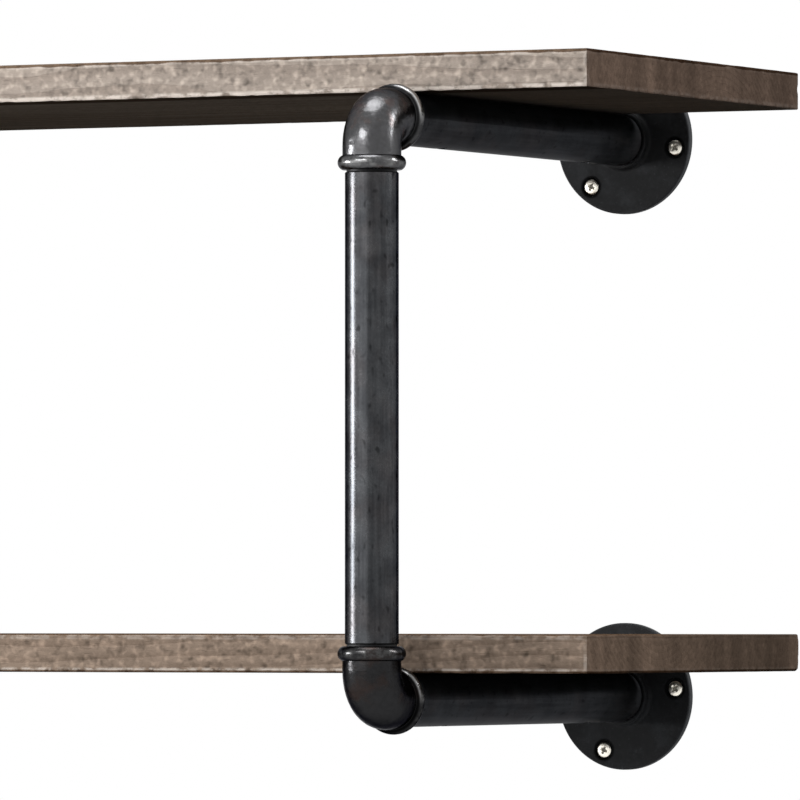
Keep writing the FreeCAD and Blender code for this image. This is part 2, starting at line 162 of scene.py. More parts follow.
# Each lamp's power setting, its width and height, and where it stands.
LAMPS = {
    "left_strip": ("strip_power", (0.54, 0.46), (-1.65, -1.27, 0.05)),
    "front_key": ("key_power", (1.30, 1.00), (0.12, -0.45, 2.05)),
    "front_fill": ("fill_power", (2.00, 1.10), (-0.41, -2.29, 0.35)),
    "front_soft": ("soft_power", (0.90, 0.45), (-0.136, -2.025, 0.908)),
    "rear_rim": ("rim_power", (0.18, 0.85), (2.10, 0.45, 0.98)),
}
LAMP_TARGET = (BRACKET_X - 0.1, -0.2, 0.0)

# The surround's white, the grey that the floor gives back, the floor's form, and the camera's.
WHITE = (1.0, 1.0, 1.0)
DIM = (0.04, 0.04, 0.04)
FLOOR_SIDES = 96
FLOOR_Y = -0.15
FLOOR_FADE = (0.5, 0.98)
SENSOR_WIDTH = 36.0
CLIP = (0.1, 100.0)


def number_property(name, description, default, **limits):
    """A setting that is one number."""
    return bpy.props.FloatProperty(name=name, description=description, default=default, **limits)


def length_property(name, description, default):
    """A setting that is a length in metres."""
    return number_property(name, description, default, unit="LENGTH", precision=5)


def share_property(name, description, default):
    """A setting from 0 to 1."""
    return number_property(name, description, default, min=0.0, max=1.0, subtype="FACTOR")


def power_property(name, description, default):
    """A setting that is a power in watts."""
    return number_property(name, description, default, min=0.0, unit="POWER")


def colour_property(name, description, default):
    """A setting that is a colour in linear light."""
    return bpy.props.FloatVectorProperty(
        name=name, description=description, default=default, subtype="COLOR", size=3, min=0.0, max=1.0
    )


def place_property(name, description, default):
    """A setting that is a place in the shared frame."""
    return bpy.props.FloatVectorProperty(
        name=name, description=description, default=default, subtype="XYZ", unit="LENGTH"
    )


class ShelfSizes(bpy.types.PropertyGroup):
    """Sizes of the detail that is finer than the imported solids."""

    arris: length_property("Arris", "Usual rounding of a board's edges", 1.1 * MM)
    arris_most: length_property("Deepest wear", "Most rounding where an edge is knocked", 2.9 * MM)
    saw_groove: length_property("Saw grooves", "Depth of the marks on the sawn edges", 0.35 * MM)
    face_ripple: length_property("Face ripple", "Depth of the grain on the broad faces", 0.07 * MM)
    end_pit: length_property("End pits", "Depth of the pores on the cut ends", 0.2 * MM)
    ring_pitch: length_property("Growth rings", "From one growth ring to the next", 3.4 * MM)
    wall_pitch: length_property("Wall screw pitch", "Rise of its thread in one turn", 2.0 * MM)
    shelf_pitch: length_property("Shelf screw pitch", "Rise of its thread in one turn", 1.4 * MM)
    wall_head: length_property("Wall screw head", "Width of a wall screw's head", 8.6 * MM)
    wall_shank: length_property("Wall screw shank", "Width of a wall screw's thread", 4.8 * MM)
    shelf_head: length_property("Shelf screw head", "Width of a shelf screw's head", 7.0 * MM)
    shelf_shank: length_property("Shelf screw shank", "Width of a shelf screw's thread", 3.5 * MM)
    screw_circle: length_property("Screw circle", "Radius of a flange's ring of screws", 31.5 * MM)


class ShelfColours(bpy.types.PropertyGroup):
    """Colours of the shelf's finishes, in linear light."""

    upper_early: colour_property("Upper pale grain", "Pale grain of the upper board", (0.333, 0.283, 0.243))
    upper_late: colour_property("Upper dark grain", "Dark grain of the upper board", (0.190, 0.152, 0.125))
    upper_end: colour_property("Upper end stain", "Stain on the upper cut ends", (0.36, 0.295, 0.262))
    lower_early: colour_property("Lower pale grain", "Pale grain of the lower board", (0.235, 0.178, 0.137))
    lower_late: colour_property("Lower dark grain", "Dark grain of the lower board", (0.125, 0.089, 0.066))
    lower_end: colour_property("Lower end stain", "Stain on the lower cut ends", (0.60, 0.56, 0.54))
    bare_wood: colour_property("Bare wood", "Wood where its stain is worn off", (0.64, 0.57, 0.51))
    top_stain: colour_property("Top stain", "How the stain darkens a top face", (0.64, 0.55, 0.47))
    # Painted shade: darkens the undersides, which get little light.
    painted_under_shade: colour_property("Under stain", "How the stain darkens an underside", (0.76, 0.80, 0.80))
    # Darkens the upper edges and the foot of the sawn edges, and is the painted shade under the front edge.
    edge_dark_and_painted_shade: colour_property("Edge line", "Stain gathered along an edge", (0.27, 0.21, 0.165))
    pipe_deep: colour_property("Upright, deep", "Darkest lacquer on the uprights", (0.03, 0.0313, 0.034))
    pipe_worn: colour_property("Upright, worn", "Handled lacquer on the uprights", (0.06, 0.0622, 0.0658))
    arm_deep: colour_property("Arm, deep", "Darkest lacquer on the arms", (0.026, 0.0275, 0.030))
    arm_worn: colour_property("Arm, worn", "Rubbed lacquer on the arms", (0.050, 0.0525, 0.0565))
    upper_skin: colour_property("Upper skin", "Casting skin of the upper elbows", (0.073, 0.073, 0.0755))
    upper_worn: colour_property("Upper worn", "Rubbed beads of the upper elbows", (0.155, 0.155, 0.155))
    # Painted highlight: the bright patch on the upper side of an upper elbow's arm bead.
    upper_bright: colour_property("Upper bright", "Brightest rub on an upper elbow", (0.44, 0.44, 0.44))
    upper_rust: colour_property("Upper rust", "Copper bloom on the upper elbows", (0.096, 0.057, 0.047))
    # Painted shade: the lower elbows take a darker copy of the upper elbows' colours, as they catch less
    # light.
    lower_skin: colour_property("Lower skin", "Casting skin of the lower elbows", (0.022, 0.022, 0.0228))
    lower_worn: colour_property("Lower worn", "Rubbed beads of the lower elbows", (0.066, 0.066, 0.066))
    # Painted highlight on the lower elbows' arm beads.
    lower_bright: colour_property("Lower bright", "Brightest rub on a lower elbow", (0.19, 0.19, 0.19))
    lower_rust: colour_property("Lower rust", "Copper bloom on the lower elbows", (0.032, 0.020, 0.016))
    flange_skin: colour_property("Flange skin", "Blackened casting of the flanges", (0.01, 0.0105, 0.0115))
    flange_dust: colour_property("Flange dust", "Grey bloom on the flanges", (0.046, 0.049, 0.054))
    zinc: colour_property("Zinc", "Bright plate on the wall screws", (0.92, 0.88, 0.78))
    dull_zinc: colour_property("Dull zinc", "Darkened plate on the shelf screws", (0.26, 0.25, 0.235))
    # Painted shade in the screws' recesses.
    grime: colour_property("Grime", "Dirt in the screws' recesses", (0.035, 0.030, 0.025))
    floor: colour_property("Floor", "Pale floor", (0.90, 0.90, 0.90))


class StudioSettings(bpy.types.PropertyGroup):
    """Camera, lamps and floor."""

    eye: place_property("Eye", "Where the camera stands", (2.55767, -4.71357, -0.10572))
    target: place_property("Target", "What the camera points at", (0.19581, -0.12, 0.00854))
    lens: number_property("Lens", "Focal length", 431.98, unit="CAMERA")
    strip_power: power_property("Side strip", "Lamp at the left", 33.0)
    key_power: power_property("Front lamp", "Lamp above and in front", 36.0)
    fill_power: power_property("Front fill", "Wide, dim lamp in front", 10.0)
    soft_power: power_property("Front soft", "Lamp in front, a little above", 20.0)
    rim_power: power_property("Rear lamp", "Lamp at the right, behind", 28.0)
    sky: share_property("Sky", "Soft light from above", 0.24)
    ground: share_property("Ground", "Soft light from below", 0.05)
    rear_lift: number_property("Rear lift", "How much more light comes from behind", 1.4)
    floor_drop: length_property("Floor drop", "How far the floor lies below the part", 0.42)
    floor_radius: length_property("Floor radius", "Half width of the floor", 4.0)


def find_socket(sockets, key):
    """A socket by its number, its identifier or its name."""
    if isinstance(key, int):
        return sockets[key]
    for socket in sockets:
        if socket.identifier == key:
            return socket
    return sockets[key]


class Wire:
    """A socket of a node tree, which takes part in sums."""

    def __init__(self, nodes, socket):
        self.nodes, self.socket = nodes, socket

    def math(self, operation, *others):
        """A Math node on this wire, then on other wires or numbers."""
        return self.nodes.math(operation, self, *others)

    def __add__(self, other):
        return self.math("ADD", other)

    def __sub__(self, other):
        return self.math("SUBTRACT", other)

    def __rsub__(self, other):
        return self.nodes.math("SUBTRACT", other, self)

    def __mul__(self, other):
        return self.math("MULTIPLY", other)

    def __truediv__(self, other):
        return self.math("DIVIDE", other)

    def __pow__(self, other):
        return self.math("POWER", other)

    __radd__ = __add__
    __rmul__ = __mul__

    def step(self, low, high):
        """0 up to low, 1 from high on and smooth between; low may be the larger of the two."""
        sockets = {"Value": self, "From Min": low, "From Max": high}
        return self.nodes.node("ShaderNodeMapRange", {"interpolation_type": "SMOOTHSTEP"}, sockets)


def clear_tree(holder):
    """The node tree of a material or a world, emptied."""
    holder.use_nodes = True
    holder.node_tree.nodes.clear()
    return holder.node_tree


class Nodes:
    """A node tree under construction."""

    def __init__(self, tree):
        self.tree = tree

    def feed(self, socket, content):
        """Links a wire to a socket, or sets the socket's own value."""
        if isinstance(content, Wire):
            self.tree.links.new(content.socket, socket)
        else:
            if socket.type == "RGBA" and len(content) == 3:
                content = (*content, 1.0)
            socket.default_value = content

    def node(self, kind, settings=None, sockets=None, take=0):
        """Any node: its type, its settings, then the values or wires of its sockets."""
        made = self.tree.nodes.new(kind)
        for setting, content in (settings or {}).items():
            setattr(made, setting, content)
        for key, content in (sockets or {}).items():
            self.feed(find_socket(made.inputs, key), content)
        return Wire(self, find_socket(made.outputs, take)) if made.outputs else None

    def math(self, operation, *terms):
        """A Math node on wires and numbers."""
        return self.node("ShaderNodeMath", {"operation": operation}, dict(enumerate(terms)))

    def axes(self, place):
        """The three numbers of a place."""
        made = self.node("ShaderNodeSeparateXYZ", None, {0: place}).socket.node
        return [Wire(self, socket) for socket in made.outputs]

    def blend(self, share, first, second):
        """The first shader where the share is 0, the second where it is 1."""
        return self.node("ShaderNodeMixShader", None, {0: share, 1: first, 2: second})

    def seen(self):
        """1 for rays from the camera, and for those that gloss or glass sends on; 0 for soft light."""
        rays = ("Is Camera Ray", "Is Glossy Ray", "Is Transmission Ray")
        camera, gloss, glass = [self.node("ShaderNodeLightPath", take=ray) for ray in rays]
        return camera.math("MAXIMUM", gloss).math("MAXIMUM", glass)


class Finish(Nodes):
    """A material under construction, about one shader."""

    def __init__(self, name, **constants):
        self.material = bpy.data.materials.new(name)
        super().__init__(clear_tree(self.material))
        surface = self.node("ShaderNodeBsdfPrincipled")
        self.shader = surface.socket.node
        self.node("ShaderNodeOutputMaterial", None, {"Surface": surface})
        self.dress(**constants)
        self.place = self.node("ShaderNodeTexCoord", take="Object")

    def noise(self, rate, detail=2.0, rough=0.5, shift=(0.0, 0.0, 0.0)):
        """Soft noise from 0 to 1; rate is its waves in a metre, along each axis or along all."""
        rate = rate if isinstance(rate, tuple) else (rate, rate, rate)
        sockets = {"Vector": self.place, "Location": shift, "Scale": rate}
        mapped = self.node("ShaderNodeMapping", None, sockets)
        sockets = {"Vector": mapped, "Scale": 1.0, "Detail": detail, "Roughness": rough}
        return self.node("ShaderNodeTexNoise", None, sockets)

    def mix(self, share, first, second, blend="MIX"):
        """The first colour where the share is 0, and where it is 1 the second or the blend of both."""
        settings = {"data_type": "RGBA", "blend_type": blend}
        sockets = {"Factor_Float": share, "A_Color": first, "B_Color": second}
        return self.node("ShaderNodeMix", settings, sockets, "Result_Color")

    def mark(self, name):
        """A number that the mesh carries at each of its points."""
        return self.node("ShaderNodeAttribute", {"attribute_name": name}, take="Fac")

    def bump(self, height, strength, distance):
        """The surface's direction, tilted by a height."""
        sockets = {"Height": height, "Strength": strength, "Distance": distance}
        return self.node("ShaderNodeBump", None, sockets)

    def dress(self, **contents):
        """Sets the shader's sockets, with values or wires, and gives the material."""
        for words, content in contents.items():
            self.feed(self.shader.inputs[words.replace("_", " ")], content)
        return self.material


def distance(first, second):
    """How far a place lies from an axis, from its two offsets."""
    return (first * first + second * second) ** 0.5


def wood_finish(tier, colours, pitch):
    """Stained, rough-sawn softwood with rings about a heart that runs along the board."""
    finish = Finish(f"{tier}_board_wood", Specular_IOR_Level=0.0)
    look = BOARD_LOOKS[tier]
    early, late, end_stain = [getattr(colours, f"{tier}_{part}") for part in ("early", "late", "end")]
    low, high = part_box(f"{tier}_shelf")
    centre = (low + high) / 2
    heart = centre + Vector((0.0, *HEARTS[tier]))
    along, across, up = finish.axes(finish.place)
    wear, cut, face = [finish.mark(mark) for mark in BOARD_MARKS]
    sawn = 1 - face
    above = up.step(centre.z - 1.0 * MM, centre.z + 1.0 * MM)

    # Growth rings about the heart.
    sway = finish.noise((2.3, 7.0, 7.0))
    lift = finish.noise((1.6, 5.0, 5.0), shift=(4.0, 1.0, 7.0))
    waver = finish.noise((9.0, 60.0, 60.0), 3.0)
    out = across - heart.y + (sway - 0.5) * 0.030
    over = up - heart.z + (lift - 0.5) * 0.018
    ring = (distance(out, over) / pitch + waver * 0.9).math("FRACT")
    dark_ring = ring.step(0.25, 0.95) * (1 - ring.step(0.95, 1.0))
    grain = finish.mix(dark_ring * (0.40 - cut * 0.26 + face * 0.15), early, late)

    # Fibres and pores, mostly on the broad faces, and flecks, mostly on the sawn edges.
    fibre = finish.noise((34.0, 640.0, 640.0), 4.0, 0.62)
    pores = finish.noise((120.0, 820.0, 820.0), shift=(9.0, 5.0, 3.0)).step(0.60, 0.72)
    speck = finish.noise((300.0, 430.0, 430.0), 3.0, 0.65)
    cloud = finish.noise((16.0, 60.0, 60.0), 3.0, 0.55, (2.0, 3.0, 1.0))
    figure = finish.noise((3.0, 90.0, 90.0), 3.0, 0.6, (7.0, 1.0, 3.0))
    pale_fleck = finish.noise((230.0, 250.0, 250.0), 1.0, shift=(6.0, 2.0, 5.0)).step(0.44, 0.86)
    dark_fleck = finish.noise((220.0, 240.0, 240.0), 1.0, shift=(1.0, 9.0, 4.0)).step(0.46, 0.88)
    streak = (fibre - 0.5) * (0.15 + face * 0.15) - pores * (0.08 + face * 0.14)
    tone = 0.60 + streak + speck * 0.40 + cloud * 0.42 + (figure - 0.5) * face * 0.9
    tone = tone + (pale_fleck * 0.67 - dark_fleck * 0.56) * (sawn * 0.80 + 0.20 - cut * 0.6)
    grain = finish.mix(1.0, grain, tone.math("MAXIMUM", 0.12), "MULTIPLY")

    # Stain on the cut ends, in bands and darker towards the wall; stain on the top faces and painted shade
    # on the undersides.
    band = finish.noise((0.1, 34.0, 2.0), 2.0, 0.6).step(0.30, 0.70)
    wall_darkening = across.step(low.y, low.y + (high.y - low.y) * look["wall_dark_reach"])
    stained = finish.mix(1.0, grain, end_stain, "MULTIPLY")
    stained = finish.mix(1.0, stained, (0.72 + band * 0.56) * (1.12 - wall_darkening * 0.42), "MULTIPLY")
    grain = finish.mix(cut, grain, stained)
    grain = finish.mix(above * face, grain, colours.top_stain, "MULTIPLY")
    # Painted shade on the undersides.
    grain = finish.mix((1 - above) * face, grain, colours.painted_under_shade, "MULTIPLY")

    # Wood rubbed bare along the sawn edges, less by the cut ends.
    rub = finish.noise((170.0, 230.0, 230.0), 3.0, 0.6, (1.0, 8.0, 2.0)).step(0.36, 0.58)
    tail = (high.x - along.math("ABSOLUTE")).step(4.5 * MM, 2.0 * MM)
    bare = wear.step(0.22, 0.62) * rub * (1 - cut.step(0.05, 0.5) * 0.85) * (1 - tail * 0.55) * sawn
    grain = finish.mix(bare * (look["bare"] - above * look["bare_less"]), grain, colours.bare_wood)

    # Darkening along the upper edges and at the foot of the sawn edges, and painted shade under the front
    # edge.
    drip = finish.noise(70.0, 2.0, 0.6, (2.0, 2.0, 9.0)) * (2.2 * MM)
    line = (up + drip).step(high.z - 0.9 * MM, high.z - 0.2 * MM) * wear.step(0.1, 0.4) * look["line"]
    foot = (up - drip * 0.3).step(low.z + 1.4 * MM, low.z + 0.6 * MM) * sawn * look["foot"]
    # Painted shade: a dark band on the underside behind the front edge.
    painted_shade_lip = across.step(low.y + 30.0 * MM, low.y + 18.0 * MM) * (1 - above) * face * 0.9
    for share in (line, foot, painted_shade_lip):
        grain = finish.mix(share, grain, colours.edge_dark_and_painted_shade, "MULTIPLY")

    height = fibre * (0.3 + face * 0.5) - pores * (0.3 + face * 0.6)
    height = height + speck * 0.9 + pale_fleck * 0.4 - dark_fleck * 0.5 - dark_ring * 0.25
    return finish.dress(
        Base_Color=grain,
        Roughness=0.60 + fibre * 0.22 + pores * 0.1,
        Normal=finish.bump(height, 0.6, 0.5 * MM),
    )


def bracket_place(finish):
    """Axes from an elbow's corner, alike for all four: outwards, to the wall, and along the upright."""
    x, y, z = finish.axes(finish.place)
    return x.math("ABSOLUTE") - BRACKET_X, y - UPRIGHT_Y, TIER_Z - z.math("ABSOLUTE")


def drawn_out(across, along, axis):
    """Rates of a noise that is drawn out along one axis."""
    rate = [across] * 3
    rate[axis] = along
    return tuple(rate)


def pipe_finish(name, deep, worn, axis, metal, matt, **gloss):
    """Black lacquer: mottled, pitted, rubbed along the pipe, with painted shade and more roughness in its
    holes and by the elbows.
    """
    finish = Finish(name, **gloss)
    out, back, along = bracket_place(finish)
    mouth = back.math("ABSOLUTE").math("MAXIMUM", along)
    off_axis = back.math("ABSOLUTE").math("MINIMUM", along.math("ABSOLUTE"))
    inside = distance(out, off_axis).step(PIPE_RADIUS - 0.15 * MM, PIPE_RADIUS - 0.4 * MM)
    # Painted shade in the holes and in the groove at each elbow's mouth, which is also rougher.
    painted_end_shade = mouth.step(ELBOW_REACH + 1.9 * MM, ELBOW_REACH + 1.1 * MM).math("MAXIMUM", inside)
    mottle = finish.noise(70.0, 3.0, 0.6)
    streak = finish.noise(drawn_out(420.0, 16.0, axis), 3.0, 0.6)
    grit = finish.noise(900.0, 2.0, 0.6)
    pit = finish.noise(drawn_out(310.0, 210.0, axis), 0.0, shift=(4.0, 8.0, 1.0)).step(0.66, 0.86)
    warm = finish.noise(drawn_out(45.0, 30.0, axis), 3.0, 0.6, (9.0, 3.0, 6.0)).step(0.46, 0.66)
    rub = (mottle * 0.55 + streak * 0.45).step(0.34, 0.68)
    colour = finish.mix(rub, deep, worn)
    colour = finish.mix(warm * 0.5, colour, WARM_TINT, "MULTIPLY")
    tone = (0.70 + grit * 0.60) * (1 - painted_end_shade * 0.85) * (1 - pit * 0.55)
    return finish.dress(
        Base_Color=finish.mix(1.0, colour, tone, "MULTIPLY"),
        Roughness=matt + mottle * 0.14 + grit * 0.10 + painted_end_shade * 0.25,
        Metallic=(1 - inside) * metal,
        Normal=finish.bump(grit * 0.5 + mottle - pit * 0.5, 0.25, 0.18 * MM),
    )


def elbow_finish(tier, colours):
    """Gunmetal cast iron: a sandy skin, a copper bloom, rubbed beads, and a painted highlight and painted
    shade on the arm's bead; the lower tier's colours are a darker copy, as painted shade.
    """
    finish = Finish(f"{tier}_elbow_iron", Metallic=1.0, Specular_Tint=(0.40, 0.40, 0.41))
    parts = ("skin", "worn", "bright", "rust")
    skin, worn, bright, rust = [getattr(colours, f"{tier}_{part}") for part in parts]
    out, back, along = bracket_place(finish)
    arm_reach = distance(out, along)
    upright_bead = along.step(*BEAD_ALONG) * distance(out, back).step(*BEAD_OFF)
    arm_bead = back.step(*BEAD_ALONG) * arm_reach.step(*BEAD_OFF)
    sand = finish.noise(420.0, 3.0, 0.65)
    lump = finish.noise(110.0)
    bloom = finish.noise(58.0, 3.0, 0.6, (3.0, 7.0, 2.0)).step(0.52, 0.72)
    scuff = finish.noise(240.0, 3.0, 0.7).step(0.40, 0.62)
    colour = finish.mix(bloom * 0.5, skin, rust)
    colour = finish.mix((upright_bead + arm_bead) * scuff * 0.8, colour, worn)

    # The arm's bead: a painted highlight above and outwards, painted shade below and in the crease at its
    # foot.
    flank = back.step(*FLANK_ALONG) * arm_reach.step(*FLANK_OFF)
    crest = arm_reach.step(*FLANK_TOP)
    raised = along * (-1.0 if tier == "upper" else 1.0)
    painted_bead_highlight = flank * crest * raised.step(-3.0 * MM, 5.0 * MM) * out.step(-4.0 * MM, 11.0 * MM)
    colour = finish.mix(painted_bead_highlight * 0.9, colour, bright)
    painted_bead_shade = flank * raised.step(3.0 * MM, -8.0 * MM)
    tone = (0.66 + sand * 0.68) * (1 - flank * (1 - crest) * 0.8) * (1 - painted_bead_shade * 0.5)
    return finish.dress(
        Base_Color=finish.mix(1.0, colour, tone, "MULTIPLY"),
        Roughness=0.18 + sand * 0.12 + bloom * 0.10,
        Normal=finish.bump(sand * 0.6 + lump * 2.2, 0.5, 0.42 * MM),
    )


def flange_finish(name, colours, sizes):
    """Blackened cast iron, matt, with a grey bloom, a rubbed rim and painted shade in a dark ring about
    each screw.
    """
    finish = Finish(name, Specular_IOR_Level=0.16)
    x, _, z = finish.axes(finish.place)
    out, up = x.math("ABSOLUTE") - BRACKET_X, z.math("ABSOLUTE") - TIER_Z
    rim = distance(out, up).step(FLANGE_RADIUS - 1.3 * MM, FLANGE_RADIUS - 0.3 * MM)
    sand = finish.noise(380.0, 3.0, 0.65)
    bloom = finish.noise(60.0, 3.0, 0.6).step(0.42, 0.70)
    speck = finish.noise(700.0, 1.0, shift=(5.0, 2.0, 8.0)).step(0.66, 0.74)
    dust = bloom * 0.55 + speck * 0.35 + rim * sand * 0.9
    colour = finish.mix(dust, colours.flange_skin, colours.flange_dust)
    # Painted shade: a dark ring about each screw's head, where the countersink lies in shadow.
    nearest = None
    for number in range(WALL_SCREWS):
        angle = math.tau * number / WALL_SCREWS - WALL_CLOCK
        aside = out - sizes.screw_circle * math.cos(angle)
        above = up - sizes.screw_circle * math.sin(angle)
        gap = distance(aside, above)
        nearest = nearest.math("MINIMUM", gap) if nearest else gap
    ring = (nearest - sizes.wall_head / 2).step(2.6 * MM, 1.2 * MM)
    return finish.dress(
        Base_Color=finish.mix(1.0, colour, 1 - ring * 0.85, "MULTIPLY"),
        Roughness=0.52 + sand * 0.20,
        Metallic=ring * 0.9,
        Normal=finish.bump(sand * 0.8 + bloom * 0.4, 0.4, 0.25 * MM),
    )


def zinc_finish(name, plate, grime):
    """Zinc plate, clouded and finely grained, with painted shade in the recess."""
    finish = Finish(name, Metallic=1.0)
    recess_shade_mask = finish.mark("grime")
    tone = finish.noise(320.0, 3.0, 0.6)
    fine = finish.noise(1500.0, 2.0, 0.6)
    colour = finish.mix(1.0, plate, 0.72 + tone * 0.42, "MULTIPLY")
    return finish.dress(
        # Painted shade darkens the recess, which is also rougher.
        Base_Color=finish.mix(recess_shade_mask * (0.52 + tone * 0.28), colour, grime),
        Roughness=0.26 + tone * 0.14 + recess_shade_mask * 0.3,
        Normal=finish.bump(fine, 0.2, 0.06 * MM),
    )


def new_object(name, data):
    """A new object in the scene."""
    made = bpy.data.objects.new(name, data)
    bpy.context.scene.collection.objects.link(made)
    return made


def wear_material(node, material):
    """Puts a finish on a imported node's own slots."""
    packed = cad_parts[node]
    if not packed.material_slots:
        packed.data.materials.append(material)
    for slot in packed.material_slots:
        slot.material = material


def finished_piece(name, mesh, slot, *nodes):
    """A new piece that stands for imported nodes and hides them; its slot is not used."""
    piece = new_object(name, mesh)
    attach(piece, ROOT)
    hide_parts(*nodes)


def graded_places(low, high, step):
    """Places from low to high, crowded near both ends and even between."""
    first, last = low + EDGE_GAPS[-1], high - EDGE_GAPS[-1]
    count = max(2, round((last - first) / step))
    even = [first + (last - first) * number / count for number in range(count + 1)]
    crowd = EDGE_GAPS[:-1]
    return [low + gap for gap in crowd] + even + [high - gap for gap in reversed(crowd)]


def box_shell(*places):
    """The lattice points on a box's six sides, and the quads that join them, facing outwards."""
    index, points, quads = {}, [], []

    def corner(spot):
        if spot not in index:
            index[spot] = len(points)
            points.append(Vector([places[axis][spot[axis]] for axis in range(3)]))
        return index[spot]

    for axis in range(3):
        u, v = (axis + 1) % 3, (axis + 2) % 3
        last = len(places[axis]) - 1
        for side in (0, last):
            for a in range(len(places[u]) - 1):
                for b in range(len(places[v]) - 1):
                    quad = []
                    for da, db in ((0, 0), (1, 0), (1, 1), (0, 1)):
                        spot = [0, 0, 0]
                        spot[axis], spot[u], spot[v] = side, a + da, b + db
                        quad.append(corner(tuple(spot)))
                    quads.append(quad if side else quad[::-1])
    return points, quads


def ridge(point, *rates):
    """Smooth noise about 0, with its own waves in a metre along each axis."""
    return noise.noise(Vector([place * rate for place, rate in zip(point, rates)]))


def worn_point(point, low, high, sizes):
    """Where a point of a plain board lies once its edges and faces are worn, and its marks."""
    gaps = [min(point[axis] - low[axis], high[axis] - point[axis]) for axis in range(3)]
    face = gaps.index(min(gaps))
    near = sorted(gaps)[1]
    # The edges are rounded unevenly, and most where they are knocked.
    knocks = max(0.0, ridge(point, 150, 150, 150) - 0.22)
    rounding = sizes.arris * (0.60 + 0.55 * (ridge(point, 42, 42, 42) + 0.5) + 2.6 * knocks)
    rounding = min(max(rounding, 0.3 * sizes.arris), sizes.arris_most)
    core = Vector([min(max(point[axis], low[axis] + rounding), high[axis] - rounding) for axis in range(3)])
    moved = core + (point - core) * (rounding / (point - core).length)
    # Pores on the ends, saw marks on the edges and ripples on the broad faces.
    if face == END:
        depth = sizes.end_pit * max(0.0, ridge(point, 20, 420, 420) + 0.25)
    elif face == EDGE:
        saw = ridge(point, 120, 120, 260) + 0.7 * ridge(point, 240, 240, 380)
        depth = sizes.saw_groove * max(0.0, saw + 0.1)
    else:
        depth = sizes.face_ripple * max(0.0, ridge(point, 12, 330, 30) + 0.5)
    centre = (low[face] + high[face]) / 2
    moved[face] -= math.copysign(min(depth, DEEPEST_MARK), point[face] - centre)
    arris = max(0.0, 1 - near / WEAR_REACH)
    return moved, arris, float(gaps[END] < END_REACH), float(face == BROAD and near > BROAD_INSET)


def add_mark(mesh, name, numbers):
    """Gives each point of a mesh a number for its finish to read."""
    mesh.attributes.new(name, "FLOAT", "POINT").data.foreach_set("value", numbers)


def board_mesh(name, low, high, sizes):
    """A board with worn edges and grained faces, and the marks that its finish reads."""
    points, quads = box_shell(*[graded_places(*span) for span in zip(low, high, BOARD_STEPS)])
    spots, *marks = zip(*[worn_point(point, low, high, sizes) for point in points])
    mesh = bpy.data.meshes.new(name)
    mesh.from_pydata(spots, [], quads)
    for mark, numbers in zip(BOARD_MARKS, marks):
        add_mark(mesh, mark, numbers)
    mesh.shade_smooth()
    return mesh


def closed_mesh(name, shape):
    """A mesh with its faces outwards, from a shape that is then let go."""
    bmesh.ops.recalc_face_normals(shape, faces=shape.faces)
    mesh = bpy.data.meshes.new(name)
    shape.to_mesh(mesh)
    shape.free()
    return mesh


def thread_profile(share):
    """Height of a wood screw's thread, from 0 at the root to 1 at the crest, along one turn."""
    return max(0.0, 1 - abs(share - 0.5) / THREAD_HALF)


def screw_rows(tip, shoulder, head, crest, root, pitch, point):
    """A screw's rings from its tip to its head: height, radius, and how far the thread stands out."""
    rows = []
    count = max(2, round((shoulder - tip) / pitch * THREAD_STEPS))
    for number in range(1, count + 1):
        height = tip + (shoulder - tip) * number / count
        taper = min(1.0, (height - tip) / point)
        fade = min(1.0, (shoulder - height) / (THREAD_FADE * pitch))
        rows.append((height, root * taper, (crest - root) * taper * fade))
    return rows + [(height, radius, 0.0) for height, radius in head]


def screw_mesh(name, rows, pitch, tip, recess):
    """A turned screw with a helical thread, and a cross recess sunk in the end of its head."""
    shape = bmesh.new()
    point = shape.verts.new((0.0, 0.0, tip))
    rings = []
    for height, radius, thread in rows:
        ring = []
        for side in range(THREAD_SIDES):
            turn = side / THREAD_SIDES
            angle = math.tau * turn
            reach = radius + thread * thread_profile((height / pitch - turn) % 1.0)
            ring.append(shape.verts.new((reach * math.cos(angle), reach * math.sin(angle), height)))
        rings.append(ring)
    for side in range(THREAD_SIDES):
        shape.faces.new((point, rings[0][(side + 1) % THREAD_SIDES], rings[0][side]))
    for low, high in zip(rings, rings[1:]):
        for side in range(THREAD_SIDES):
            after = (side + 1) % THREAD_SIDES
            shape.faces.new((low[side], low[after], high[after], high[side]))
    shape.faces.new(rings[-1])
    return cut_recess(closed_mesh(name, shape), rows[-1][0], *recess)


def wing_mesh(length, width, top, depth):
    """A tapering cross about a cone, all a little proud of the head."""
    shape = bmesh.new()
    least = ARM_LEAST * width
    bmesh.ops.create_cone(
        shape,
        cap_ends=True,
        segments=CONE_SIDES,
        radius1=CONE_FOOT * width,
        radius2=CONE_MOUTH * width,
        depth=depth + PROUD,
        matrix=Matrix.Translation((0.0, 0.0, top + (PROUD - depth) / 2)),
    )
    for long, short in ((length, width), (width, length)):
        corners = []
        for height, share in ((top + PROUD, 1.0), (top - depth, ARM_FOOT)):
            half_x = max(long * share, least) / 2
            half_y = max(short * share, least) / 2
            for x, y in ((1, 1), (-1, 1), (-1, -1), (1, -1)):
                corners.append(shape.verts.new((x * half_x, y * half_y, height)))
        for side in ((0, 1, 2, 3), (7, 6, 5, 4), (0, 4, 5, 1), (1, 5, 6, 2), (2, 6, 7, 3), (3, 7, 4, 0)):
            shape.faces.new([corners[number] for number in side])
    return closed_mesh("recess_cutter", shape)


